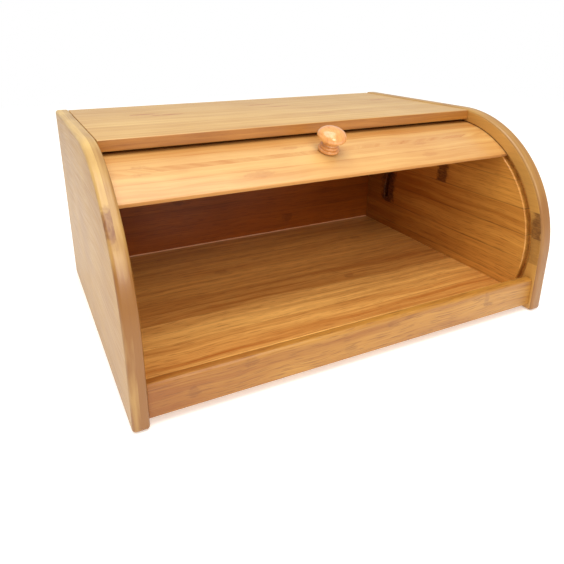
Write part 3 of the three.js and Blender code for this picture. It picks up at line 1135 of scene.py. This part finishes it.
def turned(name, profile, steps, base, material):
    """Turns [radius, height] pairs in mm, on the axis at both ends, round the knob's axis."""
    shape = bmesh.new()
    loops = []
    for radius, height in profile:
        if radius < 1e-6:
            loops.append([shape.verts.new((0, 0, height * MM))])
            continue
        ring = []
        for i in range(steps):
            turn = 2 * math.pi * i / steps
            x, y = radius * MM * math.cos(turn), radius * MM * math.sin(turn)
            ring.append(shape.verts.new((x, y, height * MM)))
        loops.append(ring)
    for near, far in zip(loops, loops[1:]):
        for i in range(steps):
            j = (i + 1) % steps
            if len(near) == 1:
                shape.faces.new((near[0], far[j], far[i])).smooth = True
            elif len(far) == 1:
                shape.faces.new((near[i], near[j], far[0])).smooth = True
            else:
                shape.faces.new((near[i], near[j], far[j], far[i])).smooth = True
    if len(loops[0]) > 1:
        for i in range(steps):
            j = (i + 1) % steps
            shape.faces.new((loops[-1][i], loops[-1][j], loops[0][j], loops[0][i])).smooth = True
    bmesh.ops.recalc_face_normals(shape, faces=shape.faces)
    mesh = bpy.data.meshes.new(name)
    shape.to_mesh(mesh)
    shape.free()
    mesh.transform(Matrix.Translation(lid_centre + knob_axis * base) @ on_knob_axis)
    mesh.set_sharp_from_angle(angle=math.radians(40))
    return new_object(name, mesh, material)


knob_seat = lid_outer + 0.3 * MM
knob_height = 20.5
# Radius and height in mm: the pilot hole, the base, the bead, the neck, and the head.
profile = [(0, 12), (2.3, 11), (2.3, 0), (8.3, 0)]
profile += curve_points((8.3, 0), ((9.3, 0.5), (9.4, 2.4)), (8.4, 3.0), 10)
profile += [(7.5, 3.2)]
profile += curve_points((7.5, 3.2), ((8.2, 3.7), (8.1, 5.1)), (7.2, 5.6), 8)
profile += curve_points((7.2, 5.6), ((6.2, 5.9), (6.1, 6.9)), (6.2, 7.6), 8)
profile += curve_points((6.2, 7.6), ((6.4, 9.6), (8.0, 10.2)), (9.8, 10.8), 10)
profile += curve_points((9.8, 10.8), ((12.3, 11.6), (12.6, 12.8)), (12.2, 14.6), 14)
profile += curve_points((12.2, 14.6), ((11.3, 17.8), (6.4, knob_height)), (0.0, knob_height), 18)
profile[-1] = (0, knob_height)
knob = turned("lid_knob_turned", profile, 96, knob_seat, knob_wood)
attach(knob, "lid")
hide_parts("lid_knob")


# ---- Knob screw and washer ----
# A zinc-plated pan-head screw and a flat washer hold the knob from inside the lid.

zinc, tree = new_material("steel_zinc_plated")
place = add(tree, "ShaderNodeTexCoord").outputs["Object"]
cloud = add(tree, "ShaderNodeTexNoise", {"Vector": place, "Scale": 900.0, "Detail": 2.0})
dull = add(tree, "ShaderNodeMapRange", {"Value": cloud, "To Min": 0.28, "To Max": 0.46})
shader = add(
    tree,
    "ShaderNodeBsdfPrincipled",
    {"Base Color": linear("c3c6c8"), "Metallic": 1.0, "Roughness": dull},
)
add(tree, "ShaderNodeOutputMaterial", {"Surface": shader})

washer_radius = 6.0
washer_seat = math.sqrt((lid_outer - lid_thickness) ** 2 - (washer_radius * MM) ** 2) - 0.3 * MM
washer_profile = [(2.4, -1.0), (5.8, -1.0), (6.0, -0.8), (6.0, -0.2), (5.8, 0.0), (2.4, 0.0)]
washer = turned("knob_washer_zinc", washer_profile, 64, washer_seat, zinc)

screw_seat = washer_seat - 1.3 * MM
screw_tip = (knob_seat - screw_seat) / MM + 10.0
screw_profile = [(0, -2.4)]
screw_profile += curve_points((0, -2.4), ((2.6, -2.4), (4.0, -1.6)), (4.0, -0.2), 10)[:-1]
screw_profile += [(4.0, -0.3), (4.0, 0.0), (1.9, 0.0), (1.9, 4.0)]
pitch = 1.4
turns = int((screw_tip - 6.5) / pitch)
for i in range(turns):
    root = 4.4 + i * pitch
    screw_profile += [(1.45, root), (1.45, root + 0.4 * pitch), (2.0, root + 0.7 * pitch)]
screw_profile += [(1.4, screw_tip - 1.6), (0, screw_tip)]
screw_blank = turned("screw_blank", screw_profile, 64, screw_seat, zinc)

head_place = Matrix.Translation(lid_centre + knob_axis * (screw_seat - 2.4 * MM)) @ on_knob_axis
slots = []
for turn, depth in ((0, 2.6), (math.pi / 2, 2.5)):
    size = Matrix.Diagonal((4.2 * MM, 0.9 * MM, depth * MM, 1))
    slot = bmesh.new()
    bmesh.ops.create_cube(slot, size=1, matrix=head_place @ Matrix.Rotation(turn, 4, "Z") @ size)
    slot_mesh = bpy.data.meshes.new("slot")
    slot.to_mesh(slot_mesh)
    slot.free()
    slots.append(new_object("slot", slot_mesh))
screw = cut_out(screw_blank, slots, "knob_screw_zinc", zinc)

for piece, node in ((washer, "knob_washer"), (screw, "knob_screw")):
    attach(piece, "lid")
    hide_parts(node)


low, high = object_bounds()
